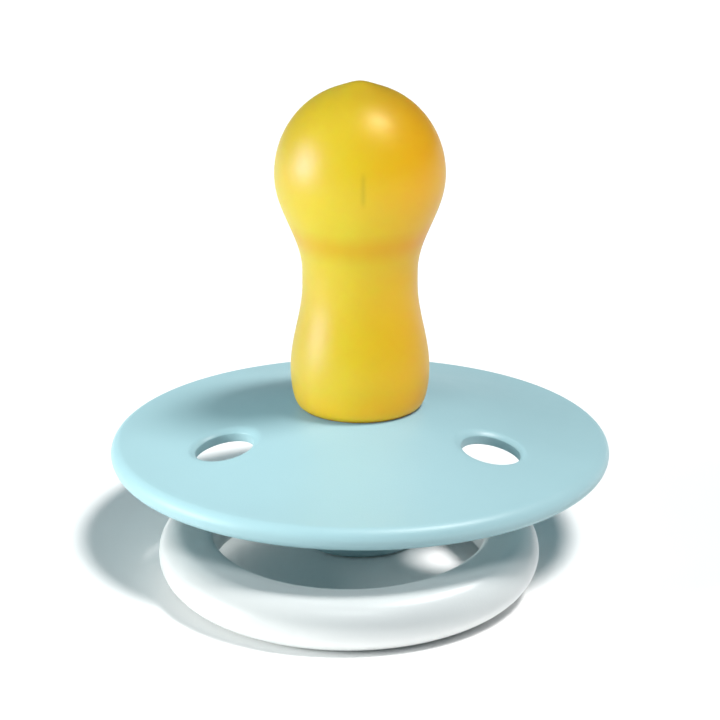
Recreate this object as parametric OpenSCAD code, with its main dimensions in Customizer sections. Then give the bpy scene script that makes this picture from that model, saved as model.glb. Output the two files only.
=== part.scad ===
// Pacifier: a latex nipple on a domed round shield, with a free-swinging ring behind it.
// The origin is the centre of the knob's flat end, on which the pacifier stands. +Z points to
// the nipple's tip and the ring lies towards -Y. All sizes are in millimetres.

/* [Shield] */
// Diameter of the shield over its rounded rim
shield_d = 43; // [40:0.5:46]
// Diameter of the shield's rounded rim
rim_t = 2; // [1.8:0.1:2.2]
// Thickness of the shield's wall inside the rim
wall_t = 1.1; // [1:0.1:1.4]
// Height of the rim's centre line above the knob's end
rim_z = 8.3; // [8:0.1:9]
// How much higher the whole wave of the dome is at its centre than at its foot
dome_h = 3.7; // [3:0.1:4.2]
// Radius at which the dome's wave would reach its foot
dome_r = 25; // [24:0.5:28]

/* [Vent holes] */
// Diameter of each vent hole
vent_d = 5; // [5:0.1:6]
// Distance of each vent hole from the shield's middle, sideways
vent_x = 11.2; // [11:0.1:12.5]
// Distance of the vent holes from the shield's middle, towards the ring
vent_y = 6.3; // [6:0.1:7.5]

/* [Nipple] */
// Thickness of the latex
latex_t = 0.95; // [0.7:0.05:1.1]
// Diameter of the skirt where it goes through the shield
skirt_d = 10.1; // [9.9:0.1:10.3]
// Diameter of the bulged base
base_d = 11.9; // [11.5:0.1:12.2]
// Height of the widest part of the base
base_z = 15.6; // [15.2:0.1:16]
// Diameter of the neck
neck_d = 9.8; // [9.5:0.1:10.1]
// Height at which the neck becomes straight
neck_low_z = 23.2; // [22.8:0.1:23.5]
// Height at which the neck begins to widen again
neck_high_z = 24.3; // [24:0.1:24.8]
// Diameter of the bulb
bulb_d = 14.4; // [13.8:0.1:15]
// Height of the widest part of the bulb
bulb_z = 32.7; // [32.4:0.1:33.2]
// Height of the bulb's crown above its widest part
crown_h = 7.6; // [7.2:0.1:8]
// Height of the small point on the crown
point_h = 0.3; // [0:0.05:0.5]
// Radius of the flange that holds the nipple behind the shield
flange_r = 6.5; // [6.2:0.1:6.7]
// Thickness of that flange
flange_t = 0.9; // [0.7:0.05:1]

/* [Inner plug] */
// Height of the plug's rounded top
plug_top_z = 18.6; // [18:0.1:19]
// Diameter of the stem that presses into the knob
stem_d = 6; // [5.6:0.1:6.4]
// Height of the stem's end above the knob's end
stem_z = 5.3; // [5.1:0.1:5.6]
// Diameter of the air bore through the plug
air_d = 1.8; // [1.4:0.1:2]

/* [Knob] */
// Diameter of the knob's button
knob_d = 11.3; // [11:0.1:11.6]
// Radius of the rounded edge of its end
knob_edge = 0.9; // [0.5:0.1:1.2]
// Diameter of the collar that bears on the shield's hub
collar_d = 15.2; // [14.8:0.1:15.6]
// Height at which the knob meets the shield's hub
hub_z = 9.5; // [9.4:0.05:9.6]
// Thickness of the collar at its edge
collar_t = 1.6; // [1.4:0.1:1.8]
// Width of the slot through which the hinge bar is pressed into its seat
slot_w = 2.3; // [2.2:0.1:2.4]

/* [Ring] */
// Outer radius of the ring
ring_r = 15.9; // [15.5:0.1:16.3]
// Height of the ring's section
ring_h = 4.2; // [4:0.1:4.4]
// Width of the ring's section
ring_w = 4.5; // [4.3:0.1:4.7]
// Radius of the two inner edges of the section
ring_edge = 0.6; // [0.4:0.1:1]
// Distance from the hinge bar to the ring's centre
ring_offset = 9.6; // [9.4:0.1:9.8]
// How far the resting ring slopes down from its hinge to the surface that it lies on
ring_slope = 3.5; // [3:0.1:4]
// Radius of the hinge bar
bar_r = 1.3; // [1.2:0.05:1.35]
// Running clearance between the bar and its seat, all round
bar_gap = 0.05; // [0.02:0.01:0.08]
// Half the distance between the ring's two knuckles
arm_x = 7.5; // [7.4:0.1:7.6]
// How far the ring has slid sideways along its seat, which leaves it this much play to either side
ring_slide = 0.6; // [0:0.1:1.2]

/* [Hidden] */
$fn = 96;

// Gap between pieces that are pressed together
fit_gap = 0.04;
// How far a cutting solid reaches past the surface that it cuts
past = 1;

rim_r = rim_t / 2;
rim_centre_r = shield_d / 2 - rim_r;
skirt_r = skirt_d / 2;
base_r = base_d / 2;
neck_r = neck_d / 2;
bulb_r = bulb_d / 2;
knob_r = knob_d / 2;
collar_r = collar_d / 2;
stem_r = stem_d / 2;
flange_z = hub_z - flange_t;
bar_z = ring_h / 2 + (ring_offset + ring_r - ring_h / 2) * sin(ring_slope);

blue = [0.72, 0.86, 0.89];
latex = [0.90, 0.76, 0.22];
white = [0.97, 0.97, 0.97];

// A smooth step from 0 to 1 as t goes from 0 to 1
function ease(t) = (1 - cos(180 * t)) / 2;

// Points of a circular arc round a centre c, from one angle to another
function arc(c, r, from, to, steps) =
    [for (i = [0 : steps]) let (a = from + (to - from) * i / steps) c + r * [cos(a), sin(a)]];

// ---- Shield -------------------------------------------------------------------------------

// Height of the shield's guide line at a radius: one gentle wave down to the rim's centre
function guide_z(r) = rim_z + dome_h * (ease(rim_centre_r / dome_r) - ease(r / dome_r));

// How far the guide line tilts down at a radius, in degrees
function tilt(r) = atan(dome_h * PI / (2 * dome_r) * sin(180 * r / dome_r));

// A point at a distance above the guide line at a radius
function beside(r, distance) = [r, guide_z(r)] + distance * [sin(tilt(r)), cos(tilt(r))];

// The face is half the rim's thickness above the guide line. The back is a wall's thickness
// under the face, and swells out to the rim over the last quarter of the radius.
function face(r) = beside(r, rim_r);
function back(r) =
    let (swell = ease(min(1, max(0, (r / rim_centre_r - 0.75) * 4))))
    beside(r, rim_r - wall_t - (rim_t - wall_t) * swell);

module shield_outline() {
    rings = 24;
    inner_r = skirt_r / 2;
    radii = [for (i = [0 : rings]) inner_r + (rim_centre_r - inner_r) * i / rings];
    top = 90 - tilt(rim_centre_r);
    polygon(concat(
        [for (i = [0 : rings]) face(radii[i])],
        arc([rim_centre_r, rim_z], rim_r, top - 10, top - 170, 16),
        [for (i = [rings : -1 : 0]) back(radii[i])]
    ));
}

// The hub behind the shield, which the knob's collar bears on, reaches halfway into the wall
module hub_outline() {
    steps = 8;
    polygon(concat(
        [[0, hub_z], [collar_r, hub_z]],
        [for (i = [steps : -1 : 0]) beside(collar_r * i / steps, rim_r - wall_t / 2)]
    ));
}

module shield() {
    color(blue)
    difference() {
        union() {
            rotate_extrude() shield_outline();
            rotate_extrude() hub_outline();
        }
        translate([0, 0, hub_z - past]) cylinder(r = skirt_r + fit_gap, h = dome_h + past + 2);
        for (side = [-1, 1])
            translate([side * vent_x, -vent_y, rim_z - past]) cylinder(d = vent_d, h = dome_h + 2 * past);
    }
}

// ---- Nipple -------------------------------------------------------------------------------

// Height of the shield's face where the nipple comes out of it
skirt_z = face(skirt_r)[1];

// Outer radius of the nipple at a height, from the shield to the bulb's widest part
function body_r(z) =
    z < base_z ? skirt_r + (base_r - skirt_r) * sqrt(1 - pow((base_z - z) / (base_z - skirt_z), 2)) :
    z < neck_low_z ? base_r + (neck_r - base_r) * ease((z - base_z) / (neck_low_z - base_z)) :
    z < neck_high_z ? neck_r :
    neck_r + (bulb_r - neck_r) * ease((z - neck_high_z) / (bulb_z - neck_high_z));

// Half of the nipple's outline, drawn in by an inset, from its open end at low_z to the tip.
// The crown is an ellipse with a small point on it.
module nipple_outline(inset, low_z) {
    rings = 60;
    point_power = 60;
    polygon(concat(
        [[0, low_z], [skirt_r - inset, low_z]],
        [for (i = [0 : rings]) let (z = skirt_z + (bulb_z - skirt_z) * i / rings) [body_r(z) - inset, z]],
        [for (a = [5 : 5 : 70]) [(bulb_r - inset) * cos(a), bulb_z + (crown_h - inset) * sin(a)]],
        [for (a = [72 : 2 : 90]) [
            (bulb_r - inset) * cos(a),
            bulb_z + (crown_h - inset) * sin(a) + point_h * pow(sin(a), point_power)
        ]]
    ));
}

module nipple() {
    color(latex)
    rotate_extrude() {
        difference() {
            nipple_outline(0, flange_z);
            nipple_outline(latex_t, flange_z - past);
        }
        translate([skirt_r - latex_t, flange_z])
            square([flange_r - skirt_r + latex_t, flange_t - fit_gap]);
    }
}

// ---- Inner plug ---------------------------------------------------------------------------

// The plug fills the nipple's base and ends in a rounded top
module plug_head_outline() {
    top_r = base_r;
    intersection() {
        nipple_outline(latex_t + fit_gap, flange_z);
        union() {
            translate([0, plug_top_z - top_r]) circle(r = top_r);
            translate([0, flange_z]) square([base_r, base_z - flange_z]);
        }
    }
}

module inner_plug() {
    color(white)
    difference() {
        rotate_extrude() {
            intersection() {
                plug_head_outline();
                translate([0, flange_z]) square([base_r, plug_top_z]);
            }
        }
        translate([0, 0, flange_z - past]) cylinder(d = air_d, h = plug_top_z);
    }
    color(white)
    difference() {
        translate([0, 0, stem_z]) cylinder(r = stem_r, h = flange_z - stem_z);
        translate([0, 0, stem_z - past]) cylinder(d = air_d, h = flange_z);
    }
}

// ---- Knob ---------------------------------------------------------------------------------

// The button flares out into the collar in a quarter of an ellipse
module knob_outline() {
    flare_z = 5.4;
    collar_low_z = hub_z - collar_t;
    collar_edge = 0.4;
    flare = [for (a = [0 : 6 : 84]) [
        knob_r + (collar_r - collar_edge - knob_r) * (1 - cos(a)),
        flare_z + (collar_low_z - flare_z) * sin(a)
    ]];
    polygon(concat(
        [[0, 0]],
        arc([knob_r - knob_edge, knob_edge], knob_edge, -90, 0, 12),
        flare,
        arc([collar_r - collar_edge, collar_low_z + collar_edge], collar_edge, -90, 0, 6),
        [[collar_r, hub_z - fit_gap], [0, hub_z - fit_gap]]
    ));
}

module knob() {
    color(blue)
    difference() {
        rotate_extrude() knob_outline();
        // Room for the nipple's flange
        translate([0, 0, flange_z - fit_gap]) cylinder(r = flange_r + fit_gap, h = flange_t + past);
        // Socket for the plug's stem
        translate([0, 0, stem_z - fit_gap]) cylinder(r = stem_r + fit_gap, h = hub_z);
        // Seat of the hinge bar, and the slot through which the bar is pressed into it
        translate([0, 0, bar_z]) rotate([0, 90, 0])
            cylinder(r = bar_r + bar_gap, h = collar_d + past, center = true);
        translate([-collar_r - past, -slot_w / 2, bar_z]) cube([collar_d + 2 * past, slot_w, hub_z]);
    }
}

// ---- Ring ---------------------------------------------------------------------------------

// The section of the ring: half round outside, with small round edges inside
module ring_section() {
    inner_r = ring_r - ring_w;
    round_r = ring_r - ring_h / 2;
    translate([round_r, ring_h / 2]) circle(r = ring_h / 2);
    for (z = [ring_edge, ring_h - ring_edge]) translate([inner_r + ring_edge, z]) circle(r = ring_edge);
    translate([inner_r + ring_edge, 0]) square([round_r - inner_r - ring_edge, ring_h]);
    translate([inner_r, ring_edge]) square([round_r - inner_r, ring_h - 2 * ring_edge]);
}

// The ring is an arc that ends in two knuckles on the hinge axis, with the thinner bar between.
// The knuckles are a little thinner than the arc, which runs a little way into them.
module ring() {
    knuckle_r = ring_h / 2 - 0.1;
    arc_overlap = 2;
    knuckle_x = sqrt(pow(ring_r - ring_h / 2, 2) - pow(ring_offset, 2));
    end_angle = atan2(ring_offset, knuckle_x) + arc_overlap;
    color(white)
    translate([-ring_slide, 0, bar_z]) rotate([ring_slope, 0, 0]) {
        translate([0, -ring_offset, -ring_h / 2]) rotate([0, 0, 180 - end_angle])
            rotate_extrude(angle = 180 + 2 * end_angle) ring_section();
        for (side = [0, 1]) mirror([side, 0, 0]) {
            translate([knuckle_x, 0, 0]) sphere(r = knuckle_r);
            translate([arm_x, 0, 0]) rotate([0, 90, 0]) cylinder(r = knuckle_r, h = knuckle_x - arm_x);
        }
        translate([-arm_x - past, 0, 0]) rotate([0, 90, 0]) cylinder(r = bar_r, h = 2 * (arm_x + past));
    }
}

shield();
nipple();
inner_plug();
knob();
ring();
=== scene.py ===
import math
from collections import namedtuple

import bmesh
import bpy
import numpy as np
from mathutils import Matrix, Vector, geometry


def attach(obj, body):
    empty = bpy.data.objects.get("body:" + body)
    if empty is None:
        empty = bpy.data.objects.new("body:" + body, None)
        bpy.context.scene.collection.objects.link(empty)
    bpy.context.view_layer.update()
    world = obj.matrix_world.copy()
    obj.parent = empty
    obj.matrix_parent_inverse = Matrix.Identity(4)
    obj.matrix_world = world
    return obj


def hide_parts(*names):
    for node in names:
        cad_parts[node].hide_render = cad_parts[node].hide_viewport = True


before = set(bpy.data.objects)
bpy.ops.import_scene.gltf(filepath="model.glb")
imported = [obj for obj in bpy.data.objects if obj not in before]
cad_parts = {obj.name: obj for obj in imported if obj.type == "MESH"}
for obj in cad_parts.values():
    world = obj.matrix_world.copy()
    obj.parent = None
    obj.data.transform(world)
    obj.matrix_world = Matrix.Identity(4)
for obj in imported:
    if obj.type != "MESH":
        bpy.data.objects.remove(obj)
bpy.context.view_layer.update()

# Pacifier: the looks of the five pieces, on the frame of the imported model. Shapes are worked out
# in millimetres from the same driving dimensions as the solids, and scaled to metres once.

MM = 0.001

# Driving dimensions in millimetres, as in the solid model
SHIELD_D, RIM_T, WALL_T, RIM_Z, DOME_H, DOME_R = 43.0, 2.0, 1.1, 8.3, 3.7, 25.0
VENT_D, VENT_X, VENT_Y = 5.0, 11.2, 6.3
LATEX_T, SKIRT_D, BASE_D, BASE_Z, NECK_D = 0.95, 10.1, 11.9, 15.6, 9.8
NECK_LOW_Z, NECK_HIGH_Z, BULB_D, BULB_Z, CROWN_H = 23.2, 24.3, 14.4, 32.7, 7.6
POINT_H, POINT_POWER, FLANGE_R, FLANGE_T = 0.3, 60, 6.5, 0.9
PLUG_TOP_Z, STEM_D, STEM_Z, AIR_D = 18.6, 6.0, 5.3, 1.8
KNOB_D, KNOB_EDGE, COLLAR_D, HUB_Z, COLLAR_T, SLOT_W = 11.3, 0.9, 15.2, 9.5, 1.6, 2.3
FLARE_Z, COLLAR_EDGE = 5.4, 0.4
RING_R, RING_H, RING_W, RING_EDGE, RING_OFFSET, RING_SLOPE = 15.9, 4.2, 4.5, 0.6, 9.6, 3.5
BAR_R, BAR_GAP, ARM_X, RING_SLIDE, FIT_GAP = 1.3, 0.05, 7.5, 0.6, 0.04

RIM_R = RIM_T / 2
RIM_CENTRE_R = SHIELD_D / 2 - RIM_R
SKIRT_R, BASE_R, NECK_R, BULB_R = SKIRT_D / 2, BASE_D / 2, NECK_D / 2, BULB_D / 2
VENT_R, STEM_R, AIR_R = VENT_D / 2, STEM_D / 2, AIR_D / 2
KNOB_R, COLLAR_R = KNOB_D / 2, COLLAR_D / 2
FLANGE_Z = HUB_Z - FLANGE_T
BAR_Z = RING_H / 2 + (RING_OFFSET + RING_R - RING_H / 2) * math.sin(math.radians(RING_SLOPE))

# Fineness of the meshes, and the edges that the solid model leaves sharp
AROUND = 256            # points in each ring of a turned shape
VENT_AROUND = 96        # points round a vent hole
PLATE_STEP = 0.5        # spacing of the rings of the shield's two faces
VENT_BAND = 1.6         # width of the band of closer rings round a vent hole
FACE_EDGE = ((0.9, 50), (0.12, 90))  # (radius, angle reached) of each bend of a vent hole's edge
BACK_EDGE = ((0.1, 90),)             # the same, on the back of the shield
HUB_EDGE_R = 0.25       # radius of the hub's edges
HOLE_EDGE_R = 0.08      # radius of the edges of the nipple's hole
FLANGE_EDGE_R = 0.2     # radius of the nipple's flange's edges
STEM_EDGE_R = 0.3       # radius of the plug's stem's edge
BODY_STEPS, CROWN_STEPS = 112, 50    # steps up the nipple's body, and over its crown
SHARP = math.radians(38)             # angle past which an edge is left sharp
WELD = 2e-6             # metres: vertices nearer than this are one


# ---- Curves -----------------------------------------------------------------------------------

def ease(t):
    """A smooth step from 0 to 1 as t goes from 0 to 1."""
    t = min(1.0, max(0.0, t))
    return (1 - math.cos(math.pi * t)) / 2


def arc(cx, cy, r, start, end, steps):
    """Points of a circular arc round (cx, cy), from one angle in degrees to another."""
    angles = [math.radians(start + (end - start) * i / steps) for i in range(steps + 1)]
    return [(cx + r * math.cos(a), cy + r * math.sin(a)) for a in angles]


def spread(start, end, steps):
    """Evenly spaced numbers from start to end, both included."""
    return [start + (end - start) * i / steps for i in range(steps + 1)]


def guide_z(r):
    """Height of the shield's guide line at a radius: one wave down to the rim's centre."""
    def wave(radius):
        return (1 - math.cos(math.pi * radius / DOME_R)) / 2
    return RIM_Z + DOME_H * (wave(RIM_CENTRE_R) - wave(r))


def tilt(r):
    return math.atan(DOME_H * math.pi / (2 * DOME_R) * math.sin(math.pi * r / DOME_R))


def beside(r, distance):
    """A point at a distance above the guide line at a radius."""
    return r + distance * math.sin(tilt(r)), guide_z(r) + distance * math.cos(tilt(r))


def face(r):
    return beside(r, RIM_R)


def back(r):
    """The back follows the face at the wall's thickness, and swells to the rim's near the edge."""
    swell_from = 0.75 * RIM_CENTRE_R
    swell = ease((r - swell_from) / (RIM_CENTRE_R - swell_from))
    return beside(r, RIM_R - WALL_T - (RIM_T - WALL_T) * swell)


def surface(curve):
    """The height of a curve, face or back, as a function of the radius in plan."""
    radii, heights = zip(*[curve(r) for r in spread(1, RIM_CENTRE_R, 2000)])
    return lambda radius: float(np.interp(radius, radii, heights))


FACE_HEIGHT, BACK_HEIGHT = surface(face), surface(back)
SKIRT_Z = face(SKIRT_R)[1]


def body_r(z):
    """Outer radius of the nipple, from the shield to the bulb's widest part."""
    if z < BASE_Z:
        low = (BASE_Z - z) / (BASE_Z - SKIRT_Z)
        return SKIRT_R + (BASE_R - SKIRT_R) * math.sqrt(max(0.0, 1 - low * low))
    if z < NECK_LOW_Z:
        return BASE_R + (NECK_R - BASE_R) * ease((z - BASE_Z) / (NECK_LOW_Z - BASE_Z))
    return NECK_R + (BULB_R - NECK_R) * ease((z - NECK_HIGH_Z) / (BULB_Z - NECK_HIGH_Z))


def nipple_side(inset, low_z):
    """Half the nipple's outline, drawn in by an inset, from low_z up to the tip on the axis."""
    skirt = []
    if low_z < SKIRT_Z:
        skirt = [(SKIRT_R - inset, z) for z in spread(low_z, SKIRT_Z, 8)[:-1]]
    body = [(body_r(z) - inset, z) for z in spread(max(low_z, SKIRT_Z), BULB_Z, BODY_STEPS)]
    crown = []
    for degrees in spread(1.5, 90, CROWN_STEPS):
        a = math.radians(degrees)
        point = POINT_H * math.sin(a) ** POINT_POWER
        z = BULB_Z + (CROWN_H - inset) * math.sin(a) + point
        crown.append(((BULB_R - inset) * math.cos(a), z))
    crown[-1] = (0.0, crown[-1][1])
    return skirt + body + crown


# ---- Meshes -----------------------------------------------------------------------------------

class Skin:
    """The vertices and faces of one closed surface, in millimetres."""

    def __init__(self):
        self.points, self.faces = [], []

    def add(self, points):
        start = len(self.points)
        self.points += points
        return list(range(start, len(self.points)))

    def bridge(self, a, b):
        """Faces between two rings of as many points. A ring of one point is a pole."""
        count = max(len(a), len(b))
        for i in range(count):
            j = (i + 1) % count
            corners = [a[i % len(a)], a[j % len(a)], b[j % len(b)], b[i % len(b)]]
            self.faces.append(tuple(dict.fromkeys(corners)))

    def turn(self, outline, before=None, after=None, closed=False):
        """Turns an outline of (radius, height) about the axis, joined to rings before and after."""
        rings = [self.add(circle(r, z)) for r, z in outline]
        chain = ([before] if before else []) + rings + ([after] if after else [])
        for a, b in zip(chain, chain[1:]):
            self.bridge(a, b)
        if closed:
            self.bridge(rings[-1], rings[0])

    def build(self, name):
        mesh = bpy.data.meshes.new(name)
        mesh.from_pydata([(x * MM, y * MM, z * MM) for x, y, z in self.points], [], self.faces)
        shape = bmesh.new()
        shape.from_mesh(mesh)
        bmesh.ops.recalc_face_normals(shape, faces=shape.faces)
        shape.to_mesh(mesh)
        shape.free()
        return place(name, mesh)


def circle(r, z):
    if r == 0:
        return [(0.0, 0.0, z)]
    angles = [2 * math.pi * i / AROUND for i in range(AROUND)]
    return [(r * math.cos(a), r * math.sin(a), z) for a in angles]


def place(name, mesh):
    mesh.shade_smooth()
    mesh.set_sharp_from_angle(angle=SHARP)
    obj = bpy.data.objects.new(name, mesh)
    bpy.context.scene.collection.objects.link(obj)
    return obj


def weld(mesh):
    """Closes the hairline gaps and slivers that a cut can leave."""
    shape = bmesh.new()
    shape.from_mesh(mesh)
    bmesh.ops.remove_doubles(shape, verts=shape.verts, dist=WELD)
    bmesh.ops.dissolve_degenerate(shape, edges=shape.edges, dist=WELD)
    shape.to_mesh(mesh)
    shape.free()


def cut(obj, cutter):
    """Takes the cutter away from obj, for good."""
    change = obj.modifiers.new("cut", "BOOLEAN")
    change.operation, change.solver, change.object = "DIFFERENCE", "EXACT", cutter
    depsgraph = bpy.context.evaluated_depsgraph_get()
    result = bpy.data.meshes.new_from_object(obj.evaluated_get(depsgraph))
    obj.modifiers.clear()
    weld(result)
    obj.data = result
    bpy.data.objects.remove(cutter)


# ---- Shield -----------------------------------------------------------------------------------

def vent_distance(x, y):
    """Distance in plan from a point to the axis of the nearer vent hole."""
    return math.hypot(abs(x) - VENT_X, y + VENT_Y)


def edge_profile(bends):
    """Section of a vent hole's edge, from the plate's surface to the hole's wall: (run, drop)."""
    points, turned = [(0.0, 0.0)], 0.0
    for radius, degrees in bends:
        (run, drop), reached = points[-1], math.radians(degrees)
        for a in spread(turned, reached, 7)[1:]:
            points.append((
                run + radius * (math.sin(a) - math.sin(turned)),
                drop + radius * (math.cos(turned) - math.cos(a))))
        turned = reached
    return points


def vent_rings(profile):
    """Radii of the rings round a vent hole: its rounded edge, and the band round that."""
    width = profile[-1][0]
    rounded = [VENT_R + width - run for run, _ in profile[::-1]]
    band = spread(VENT_R + width, VENT_R + VENT_BAND, 4)[1:]
    return rounded + band


def plate(skin, height, inner_r, outer_r, bends, side):
    """The shield's face (side 1) or back (side -1), with the edges of the vent holes rounded.
    Returns its inner ring, its outer ring and the rings of the two vent holes."""
    flat, loops = [], []
    profile = edge_profile(bends)
    runs, drops = zip(*profile)

    def ring(cx, cy, r, count, clear=False):
        angles = [2 * math.pi * i / count for i in range(count)]
        points = [(cx + r * math.cos(a), cy + r * math.sin(a)) for a in angles]
        if clear:
            nearest = VENT_R + VENT_BAND + PLATE_STEP / 2
            points = [p for p in points if vent_distance(*p) > nearest]
        start = len(flat)
        flat.extend(points)
        return list(range(start, len(flat)))

    loops.append(ring(0, 0, inner_r, AROUND))
    loops.append(ring(0, 0, outer_r, AROUND))
    steps = round((outer_r - inner_r) / PLATE_STEP)
    for r in spread(inner_r, outer_r, steps)[1:-1]:
        ring(0, 0, r, AROUND, clear=True)
    for vent_x in (-VENT_X, VENT_X):
        vents = [ring(vent_x, -VENT_Y, r, VENT_AROUND) for r in vent_rings(profile)]
        loops.append(vents[0])

    edges = [(loop[i - 1], loop[i]) for loop in loops for i in range(len(loop))]
    result = geometry.delaunay_2d_cdt([Vector(p) for p in flat], edges, [], 0, 1e-7, True)
    triangles, origin = result[2], result[3]
    holes = [set(loops[i]) for i in (0, 2, 3)]

    def lifted(x, y):
        drop = float(np.interp(VENT_R + runs[-1] - vent_distance(x, y), runs, drops))
        return x, y, height(math.hypot(x, y)) - side * drop

    ids = skin.add([lifted(x, y) for x, y in flat])
    for triangle in triangles:
        corners = [origin[v][0] for v in triangle]
        if not any(hole.issuperset(corners) for hole in holes):
            skin.faces.append(tuple(ids[c] for c in corners))
    return [[ids[i] for i in loop] for loop in loops]


def make_shield():
    skin = Skin()
    hole_r = SKIRT_R + FIT_GAP
    lip, edge = HOLE_EDGE_R, HUB_EDGE_R
    inner, outer, left, right = plate(
        skin, FACE_HEIGHT, hole_r + lip, face(RIM_CENTRE_R)[0], FACE_EDGE, 1)
    low_inner, low_outer, low_left, low_right = plate(
        skin, BACK_HEIGHT, COLLAR_R + edge, back(RIM_CENTRE_R)[0], BACK_EDGE, -1)
    top = 90 - math.degrees(tilt(RIM_CENTRE_R))
    rim = arc(RIM_CENTRE_R, RIM_Z, RIM_R, top, top - 180, 32)[1:-1]
    skin.turn(rim, before=outer, after=low_outer)
    skin.bridge(left, low_left)
    skin.bridge(right, low_right)
    lip_z = FACE_HEIGHT(hole_r + lip) - lip
    root_z = BACK_HEIGHT(COLLAR_R + edge) - edge
    hub = (
        arc(hole_r + lip, lip_z, lip, 90, 180, 6)[1:]
        + arc(hole_r + lip, HUB_Z + lip, lip, 180, 270, 6)
        + arc(COLLAR_R - edge, HUB_Z + edge, edge, -90, 0, 6)
        + arc(COLLAR_R + edge, root_z, edge, 180, 90, 6)[:-1]
    )
    skin.turn(hub, before=inner, after=low_inner)
    return skin.build("shield_moulding")


# ---- Nipple and plug --------------------------------------------------------------------------

def make_nipple():
    """One skin of latex: down the outside, round the flange and up the inside."""
    skin = Skin()
    edge, top = FLANGE_EDGE_R, FLANGE_Z + FLANGE_T - FIT_GAP
    outside = nipple_side(0, top + edge)[::-1]
    flange = (
        arc(SKIRT_R + edge, top + edge, edge, 180, 270, 4)[1:]
        + arc(FLANGE_R - edge, top - edge, edge, 90, 0, 4)
        + arc(FLANGE_R - edge, FLANGE_Z + edge, edge, 0, -90, 4)
    )
    inside = nipple_side(LATEX_T, FLANGE_Z)
    skin.turn(outside + flange + inside)
    return skin.build("latex_nipple")


def make_plug():
    """The core inside the nipple's base: a domed head on a stem, with the air bore through both."""
    skin = Skin()
    wall = LATEX_T + FIT_GAP
    sphere_z = PLUG_TOP_Z - BASE_R

    def head_r(z):
        cap = math.sqrt(max(0.0, BASE_R ** 2 - max(0.0, z - sphere_z) ** 2))
        return min(cap, body_r(z) - wall)

    top = sphere_z + math.sqrt(BASE_R ** 2 - AIR_R ** 2)
    head = [(SKIRT_R - wall, FLANGE_Z)] + [(head_r(z), z) for z in spread(SKIRT_Z, top, 48)[:-1]]
    edge = STEM_EDGE_R
    stem = arc(STEM_R - edge, STEM_Z + edge, edge, -90, 0, 6) + [(STEM_R, FLANGE_Z)]
    skin.turn([(AIR_R, STEM_Z)] + stem + head + [(AIR_R, top)], closed=True)
    return skin.build("nipple_plug")


# ---- Knob -------------------------------------------------------------------------------------

def knob_outline():
    """Half the knob's outline: flat end, straight neck, and a flare out to the collar."""
    low_z = HUB_Z - COLLAR_T
    reach, rise = COLLAR_R - COLLAR_EDGE - KNOB_R, low_z - FLARE_Z
    flare = []
    for degrees in spread(0, 86, 24):
        a = math.radians(degrees)
        flare.append((KNOB_R + reach * (1 - math.cos(a)), FLARE_Z + rise * math.sin(a)))
    return (
        [(0.0, 0.0)]
        + arc(KNOB_R - KNOB_EDGE, KNOB_EDGE, KNOB_EDGE, -90, 0, 16)
        + flare
        + arc(COLLAR_R - COLLAR_EDGE, low_z + COLLAR_EDGE, COLLAR_EDGE, -90, 0, 8)
        + [(COLLAR_R, HUB_Z - FIT_GAP), (0.0, HUB_Z - FIT_GAP)]
    )


def seat_cutter():
    """The keyhole of the hinge bar's seat and the slot above it, right through the knob."""
    seat_r, half, far = BAR_R + BAR_GAP, SLOT_W / 2, COLLAR_R + 1
    mouth = math.degrees(math.acos(half / seat_r))
    seat = arc(0, BAR_Z, seat_r, mouth, -180 - mouth, 64)
    keyhole = seat + [(-half, HUB_Z + 1), (half, HUB_Z + 1)]
    skin = Skin()
    ends = [skin.add([(x, y, z) for y, z in keyhole]) for x in (-far, far)]
    skin.bridge(*ends)
    skin.faces += [tuple(end) for end in ends]
    return skin.build("seat_cutter")


def socket_cutter():
    """Room for the nipple's flange and the plug's stem."""
    skin = Skin()
    skin.turn([
        (0.0, STEM_Z - FIT_GAP), (STEM_R + FIT_GAP, STEM_Z - FIT_GAP),
        (STEM_R + FIT_GAP, FLANGE_Z - FIT_GAP), (FLANGE_R + FIT_GAP, FLANGE_Z - FIT_GAP),
        (FLANGE_R + FIT_GAP, HUB_Z + 1), (0.0, HUB_Z + 1),
    ])
    return skin.build("socket_cutter")


def make_knob():
    skin = Skin()
    skin.turn(knob_outline())
    knob = skin.build("knob_moulding")
    cut(knob, socket_cutter())
    cut(knob, seat_cutter())
    knob.data.shade_smooth()
    knob.data.set_sharp_from_angle(angle=SHARP)
    return knob


# ---- Ring -------------------------------------------------------------------------------------

SHOULDER = 0.6          # length of the step from the bar up to the knuckle
BEND_R = 3.0            # radius of the ring's bend at its knuckles
KNUCKLE_R = RING_H / 2 - 0.1
MORPH_PAST_BEND = 3.0   # how far past the bend the section reaches its full shape


def ring_section():
    """Outline of the ring's section, across (outwards) and up: half round outside, flat inside."""
    half = RING_H / 2
    inner = half - RING_W + RING_EDGE
    low, high = RING_EDGE - half, half - RING_EDGE
    return (
        arc(0, 0, half, -90, 90, 40)
        + [(inner * t, half) for t in (0.25, 0.5, 0.75)]
        + arc(inner, high, RING_EDGE, 90, 180, 10)
        + [(inner - RING_EDGE, high + (low - high) * t) for t in (0.25, 0.5, 0.75)]
        + arc(inner, low, RING_EDGE, 180, 270, 10)
        + [(inner * t, -half) for t in (0.75, 0.5, 0.25)]
    )


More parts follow.
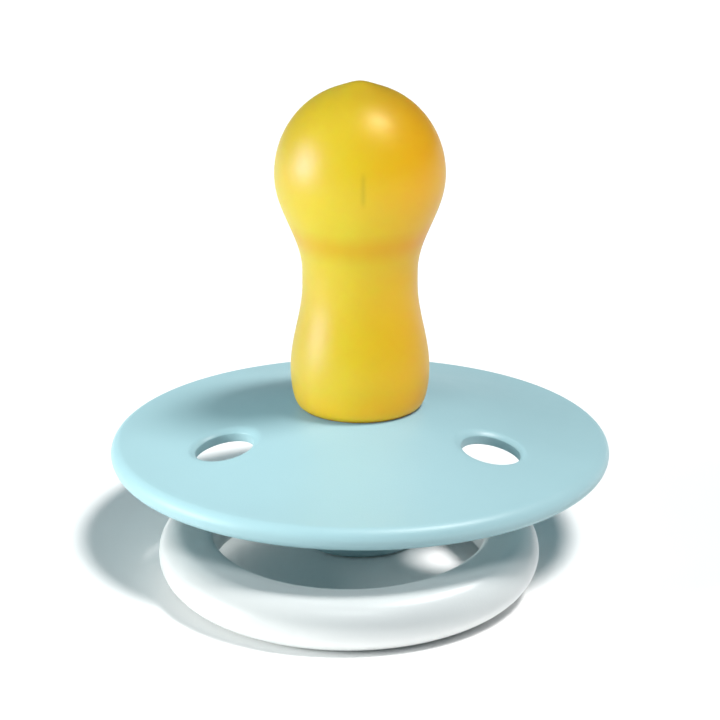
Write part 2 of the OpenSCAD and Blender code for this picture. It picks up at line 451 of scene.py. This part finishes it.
def ring_path():
    """Half the path of the ring's section, from the middle of the hinge bar to the ring's near end.
    Each station is (x, y, heading in radians, distance along the path)."""
    round_r = RING_R - RING_H / 2
    bend_x = math.sqrt((round_r - BEND_R) ** 2 - (RING_OFFSET - BEND_R) ** 2)
    turn = math.pi / 2 - math.atan2(RING_OFFSET - BEND_R, bend_x)
    stations = [(x, 0.0, 0.0, x) for x in spread(0, ARM_X, 12) + spread(ARM_X, bend_x, 24)[1:]]
    for a in spread(0, turn, 24)[1:]:
        x, y = bend_x + BEND_R * math.sin(a), BEND_R * (math.cos(a) - 1)
        stations.append((x, y, -a, bend_x + BEND_R * a))
    for a in spread(turn, math.pi, 150)[1:]:
        x, y = round_r * math.sin(a), round_r * math.cos(a) - RING_OFFSET
        stations.append((x, y, -a, bend_x + BEND_R * turn + round_r * (a - turn)))
    return stations, bend_x + BEND_R * turn


def make_ring():
    stations, bend_end = ring_path()
    section = ring_section()
    slope = Matrix.Rotation(math.radians(RING_SLOPE), 4, "X")
    lift = Matrix.Translation((-RING_SLIDE, 0, BAR_Z)) @ slope

    def slice_at(x, y, heading, along, mirror):
        rod_r = BAR_R + (KNUCKLE_R - BAR_R) * ease((along - ARM_X) / SHOULDER)
        start = ARM_X + SHOULDER
        full = ease((along - start) / (bend_end + MORPH_PAST_BEND - start))
        points = []
        for across, up in section:
            size = math.hypot(across, up)
            across = across * (full + (1 - full) * rod_r / size)
            up = up * (full + (1 - full) * rod_r / size)
            px, py = x - across * math.sin(heading), y + across * math.cos(heading)
            points.append(tuple(lift @ Vector((mirror * px, py, up))))
        return points

    skin = Skin()
    right = [skin.add(slice_at(*s, 1)) for s in stations]
    left = [skin.add(slice_at(*s, -1)) for s in stations[1:-1]]
    loop = right + left[::-1]
    for a, b in zip(loop, loop[1:] + loop[:1]):
        skin.bridge(a, b)
    return skin.build("ring_handle")


# ---- Materials --------------------------------------------------------------------------------

# Colours, and the two ends that the clouds in the paper and the latex go between
BLUE, WHITE, NATURAL = (0.36, 0.548, 0.588), (0.91, 0.92, 0.91), (0.82, 0.82, 0.78)
PAPER = ((0.975, 0.965, 0.96), (0.99, 0.975, 0.97))
LATEX = ((0.62, 0.50, 0.012), (0.65, 0.53, 0.02))

# Bands round the latex: centre height, half width and softness, and the tint inside. The second
# also adds a painted glow, and the last is painted light that only lightens the base.
NECK_BAND = (27.6, 0.25, 1.3), (1.0, 0.82, 0.4)
# Amber of the thicker latex at the base's edge, with its red lifted past 1 as a painted glow of
# light through the latex
BASE_EDGE_AMBER_AND_GLOW_BAND = (SKIRT_Z, 0.6, 2.2), (1.18, 0.93, 0.4)
# Painted light: lifts the colour of the base, which gets less light as it curves down
BASE_PAINTED_LIGHT_BAND = (BASE_Z, 3.5, 7.0), (1.1, 1.03, 1.0)

# The painted amber shade of the +X side, darker and deeper in hue as that side gets less light,
# starts at one X and is full at another. The mould's faint seam is where a band across and a band
# up meet, on the bulb's front.
PAINTED_SHADE_FROM_X, PAINTED_SHADE_TO_X, PAINTED_AMBER_SHADE_TINT = -1, 5.5, (1.08, 0.74, 0.2)
SEAM_X, SEAM_Z, SEAM_TINT = (0.5, 0.03, 0.3), (33.1, 0.9, 0.7), (0.84, 0.86, 0.75)

# Scales of the noises, in features to the metre
CLOUDS, GLOSS_PATCHES, FINE_GRAIN = 90, 220, 5200
LATEX_CLOUDS, LATEX_STREAKS, PAPER_CLOUDS = 130, 400, 60
NOISE_LOW, NOISE_HIGH = 0.3, 0.7     # the part of a noise's range that is used


def new_material(name):
    material = bpy.data.materials.new(name)
    material.use_nodes = True
    nodes, links = material.node_tree.nodes, material.node_tree.links
    return material, nodes, links, nodes["Principled BSDF"]


def noise(nodes, links, scale, detail=4.0, rough=0.5):
    """Noise fixed to the object, with its features 1 / scale metres apart."""
    place_of = nodes.new("ShaderNodeTexCoord")
    texture = nodes.new("ShaderNodeTexNoise")
    texture.inputs["Scale"].default_value = scale
    texture.inputs["Detail"].default_value = detail
    texture.inputs["Roughness"].default_value = rough
    links.new(place_of.outputs["Object"], texture.inputs["Vector"])
    return texture.outputs["Fac"]


def ramp(nodes, links, factor, colours):
    """A soft ramp between two colours over a noise."""
    node = nodes.new("ShaderNodeValToRGB")
    node.color_ramp.interpolation = "B_SPLINE"
    elements = node.color_ramp.elements
    for element, position, colour in zip(elements, (NOISE_LOW, NOISE_HIGH), colours):
        element.position, element.color = position, (*colour, 1)
    links.new(factor, node.inputs["Fac"])
    return node.outputs["Color"]


def to_range(nodes, links, value, low, high, new_low, new_high):
    node = nodes.new("ShaderNodeMapRange")
    node.inputs["From Min"].default_value = low
    node.inputs["From Max"].default_value = high
    node.inputs["To Min"].default_value = new_low
    node.inputs["To Max"].default_value = new_high
    links.new(value, node.inputs["Value"])
    return node.outputs["Result"]


def set_roughness(nodes, links, shader, patches, low, high):
    """Roughness that goes from low to high over a noise."""
    roughness = to_range(nodes, links, patches, NOISE_LOW, NOISE_HIGH, low, high)
    links.new(roughness, shader.inputs["Roughness"])


def grain(nodes, links, shader, height, distance):
    bump = nodes.new("ShaderNodeBump")
    bump.inputs["Strength"].default_value = 1.0
    bump.inputs["Distance"].default_value = distance
    links.new(height, bump.inputs["Height"])
    links.new(bump.outputs["Normal"], shader.inputs["Normal"])


def shade(colour, factor):
    return tuple(c * factor for c in colour)


def moulded_plastic(name, colour, roughness, subsurface):
    """Satin moulded plastic: a faint cloudiness in its colour, and a fine grain in its gloss."""
    material, nodes, links, shader = new_material(name)
    cloud = noise(nodes, links, CLOUDS, 5)
    tint = ramp(nodes, links, cloud, (shade(colour, 0.975), shade(colour, 1.02)))
    links.new(tint, shader.inputs["Base Color"])
    patches = noise(nodes, links, GLOSS_PATCHES, 6, 0.6)
    set_roughness(nodes, links, shader, patches, roughness - 0.05, roughness + 0.05)
    grain(nodes, links, shader, noise(nodes, links, FINE_GRAIN, 3, 0.6), 0.012 * MM)
    shader.inputs["IOR"].default_value = 1.49
    shader.inputs["Subsurface Weight"].default_value = subsurface
    shader.inputs["Subsurface Radius"].default_value = (1.0, 1.0, 1.0)
    shader.inputs["Subsurface Scale"].default_value = 0.6 * MM
    return material


def window(nodes, links, value, centre, half_width, soft):
    """1 near a centre, falling to 0 over a soft edge. The value is in metres, the rest in mm."""
    away = nodes.new("ShaderNodeMath")
    away.operation = "SUBTRACT"
    away.inputs[1].default_value = centre * MM
    links.new(value, away.inputs[0])
    size = nodes.new("ShaderNodeMath")
    size.operation = "ABSOLUTE"
    links.new(away.outputs[0], size.inputs[0])
    edge = half_width * MM
    return to_range(nodes, links, size.outputs[0], edge, edge + soft * MM, 1, 0)


def multiply(nodes, links, a, b):
    node = nodes.new("ShaderNodeMath")
    node.operation = "MULTIPLY"
    links.new(a, node.inputs[0])
    links.new(b, node.inputs[1])
    return node.outputs[0]


def tinted(nodes, links, colour, tint, factor):
    """Multiplies a colour by a tint, as much as the factor says."""
    mix = nodes.new("ShaderNodeMix")
    mix.data_type, mix.blend_type = "RGBA", "MULTIPLY"
    links.new(factor, mix.inputs[0])
    links.new(colour, mix.inputs[6])
    mix.inputs[7].default_value = (*tint, 1)
    return mix.outputs[2]


def latex_material():
    """Natural rubber: golden, and amber at the neck and the base's edge, with a painted glow at the
    base's edge, painted light on the base and painted amber shade on the +X side.
    """
    material, nodes, links, shader = new_material("amber_latex")
    place_of = nodes.new("ShaderNodeTexCoord")
    split = nodes.new("ShaderNodeSeparateXYZ")
    links.new(place_of.outputs["Object"], split.inputs["Vector"])
    across, up = split.outputs["X"], split.outputs["Z"]
    colour = ramp(nodes, links, noise(nodes, links, LATEX_CLOUDS, 5, 0.55), LATEX)
    # Amber at the neck, amber with a painted glow at the base's edge, and painted light on the base
    for band, tint in NECK_BAND, BASE_EDGE_AMBER_AND_GLOW_BAND, BASE_PAINTED_LIGHT_BAND:
        colour = tinted(nodes, links, colour, tint, window(nodes, links, up, *band))
    # Painted amber shade on the +X side, darker and more saturated
    painted_amber_shade = to_range(nodes, links, across, PAINTED_SHADE_FROM_X * MM, PAINTED_SHADE_TO_X * MM, 0, 1)
    colour = tinted(nodes, links, colour, PAINTED_AMBER_SHADE_TINT, painted_amber_shade)
    seam = multiply(
        nodes, links,
        window(nodes, links, across, *SEAM_X), window(nodes, links, up, *SEAM_Z))
    front = to_range(nodes, links, split.outputs["Y"], -1 * MM, 0, 1, 0)
    colour = tinted(nodes, links, colour, SEAM_TINT, multiply(nodes, links, seam, front))
    links.new(colour, shader.inputs["Base Color"])
    set_roughness(nodes, links, shader, noise(nodes, links, LATEX_STREAKS, 4), 0.38, 0.44)
    shader.inputs["IOR"].default_value = 1.45
    shader.inputs["Specular IOR Level"].default_value = 1.0
    shader.inputs["Specular Tint"].default_value = (1.0, 0.78, 0.45, 1)
    shader.inputs["Subsurface Weight"].default_value = 1.0
    shader.inputs["Subsurface Radius"].default_value = (1.0, 0.6, 0.12)
    shader.inputs["Subsurface Scale"].default_value = 2.6 * MM
    return material


# ---- Light, floor and camera ------------------------------------------------------------------

# A light's place and size are in millimetres, and a sun's size is in degrees. Each light is kept
# on the pieces named (INCLUDE) or off them (EXCLUDE), as studio flags do. The last
# column says whether the light shows in reflections.
Light = namedtuple("Light", "name kind place strength size colour state pieces glossy")

OVERHEAD, OVER_THE_BACK = (380, -130, 1000), (350, 370, 1000)
FAR_LEFT, LOW_LEFT = (-740, -150, 140), (-740, -190, 50)
PANEL, LOW_PANEL, SMALL_CARD = (420, 380), (420, 130), (400, 300)

LIGHTS = (
    Light("key", "SUN", OVERHEAD, 3.2, 16, (1.0, 0.99, 0.98),
          "EXCLUDE", ("ring", "nipple"), True),
    Light("nipple_key", "SUN", OVERHEAD, 1.95, 24, (1.0, 0.99, 1.0),
          "INCLUDE", ("nipple",), True),
    Light("ring_key", "SUN", OVER_THE_BACK, 2.35, 12, (1.0, 1.0, 0.99),
          "INCLUDE", ("ring",), True),
    Light("fill", "AREA", FAR_LEFT, 7.6, PANEL, (0.93, 1.0, 0.99),
          "EXCLUDE", ("ring", "nipple"), True),
    Light("ring_fill", "AREA", LOW_LEFT, 4.2, LOW_PANEL, (0.97, 1.0, 0.98),
          "INCLUDE", ("ring",), True),
    Light("ring_card", "AREA", (60, -320, 900), 2.4, SMALL_CARD, (0.95, 1.0, 1.0),
          "INCLUDE", ("ring",), True),
    Light("nipple_fill", "AREA", FAR_LEFT, 9.2, PANEL, (0.41, 0.4, 1.0),
          "INCLUDE", ("nipple",), True),
    Light("card", "AREA", (40, -760, 70), 4.6, (520, 420), (1.0, 1.0, 0.95),
          "INCLUDE", ("nipple",), False),
    Light("shield_card", "AREA", (-250, -450, 600), 1.1, SMALL_CARD, (0.85, 1.0, 1.0),
          "INCLUDE", ("shield",), False),
)
AIMED_AT = (0, 0, 10)
SKY, SKY_STRENGTH = (0.42, 0.82, 1.0, 1), 0.12

# The floor and the camera: millimetres and degrees. The camera looks past the origin, not at it,
# so its pitch isn't its elevation.
FLOOR_HALF, FLOOR_DROP = 3000, 0.01
CAMERA_DISTANCE, CAMERA_LENS, SENSOR = 235.0, 133.8, 36
CAMERA_ELEVATION, CAMERA_TURN, CAMERA_PITCH = 22.65, 1.9, 18.91


def make_light(row, pieces):
    data = bpy.data.lights.new(row.name, row.kind)
    data.energy, data.color = row.strength, row.colour
    if row.kind == "SUN":
        data.angle = math.radians(row.size)
    else:
        data.shape = "RECTANGLE"
        data.size, data.size_y = row.size[0] * MM, row.size[1] * MM
    light = bpy.data.objects.new(row.name, data)
    bpy.context.scene.collection.objects.link(light)
    light.location = Vector(row.place) * MM
    light.rotation_mode = "QUATERNION"
    light.rotation_quaternion = (Vector(AIMED_AT) - Vector(row.place)).to_track_quat("-Z", "Y")
    light.visible_glossy = row.glossy
    receivers = bpy.data.collections.new(row.name + "_receivers")
    light.light_linking.receiver_collection = receivers
    for name in row.pieces:
        receivers.objects.link(pieces[name])
    for link in receivers.collection_objects:
        link.light_linking.link_state = row.state


def light_the_scene(pieces):
    for row in LIGHTS:
        make_light(row, pieces)
    world = bpy.data.worlds.new("studio")
    world.use_nodes = True
    background = world.node_tree.nodes["Background"]
    background.inputs["Color"].default_value = SKY
    background.inputs["Strength"].default_value = SKY_STRENGTH
    bpy.context.scene.world = world
    bpy.context.scene.view_settings.view_transform = "Standard"


def make_floor():
    mesh = bpy.data.meshes.new("floor")
    corners = [(-1, -1), (1, -1), (1, 1), (-1, 1)]
    half, z = FLOOR_HALF * MM, -FLOOR_DROP * MM
    mesh.from_pydata([(x * half, y * half, z) for x, y in corners], [], [(0, 1, 2, 3)])
    floor = place("floor", mesh)
    material, nodes, links, shader = new_material("white_paper")
    paper = ramp(nodes, links, noise(nodes, links, PAPER_CLOUDS), PAPER)
    links.new(paper, shader.inputs["Base Color"])
    shader.inputs["Roughness"].default_value = 0.9
    shader.inputs["Specular IOR Level"].default_value = 0.1
    floor.data.materials.append(material)


def make_camera():
    """Looks down on the pacifier from the front, a little to the right."""
    elevation, turn = math.radians(CAMERA_ELEVATION), math.radians(CAMERA_TURN)
    flat, up = CAMERA_DISTANCE * math.cos(elevation), CAMERA_DISTANCE * math.sin(elevation)
    data = bpy.data.cameras.new("camera")
    data.lens, data.sensor_width = CAMERA_LENS, SENSOR
    data.clip_start, data.clip_end = 0.01, 20
    camera = bpy.data.objects.new("camera", data)
    camera.location = Vector((flat * math.sin(turn), -flat * math.cos(turn), up)) * MM
    camera.rotation_euler = (math.pi / 2 - math.radians(CAMERA_PITCH), 0, turn)
    bpy.context.scene.collection.objects.link(camera)
    bpy.context.scene.camera = camera


# ---- The object -------------------------------------------------------------------------------

def dress(obj, body, node, material):
    """Gives a piece its material and the body it moves with, and hides the solid that it stands
    for.
    """
    obj.data.materials.clear()
    obj.data.materials.append(material)
    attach(obj, body)
    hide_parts(node)


make_camera()
make_floor()

blue_plastic = moulded_plastic("pale_blue_plastic", BLUE, 0.42, 0.1)
white_plastic = moulded_plastic("white_plastic", WHITE, 0.36, 0.15)
plug_plastic = moulded_plastic("natural_plastic", NATURAL, 0.5, 0.2)

shield = make_shield()
dress(shield, "body", "shield", blue_plastic)
nipple = make_nipple()
nipple.visible_diffuse = False       # keeps its yellow from colouring the shield
dress(nipple, "body", "nipple", latex_material())
dress(make_plug(), "body", "inner_plug", plug_plastic)
dress(make_knob(), "body", "knob", blue_plastic)
ring = make_ring()
dress(ring, "handle", "ring", white_plastic)
light_the_scene({"shield": shield, "nipple": nipple, "ring": ring})
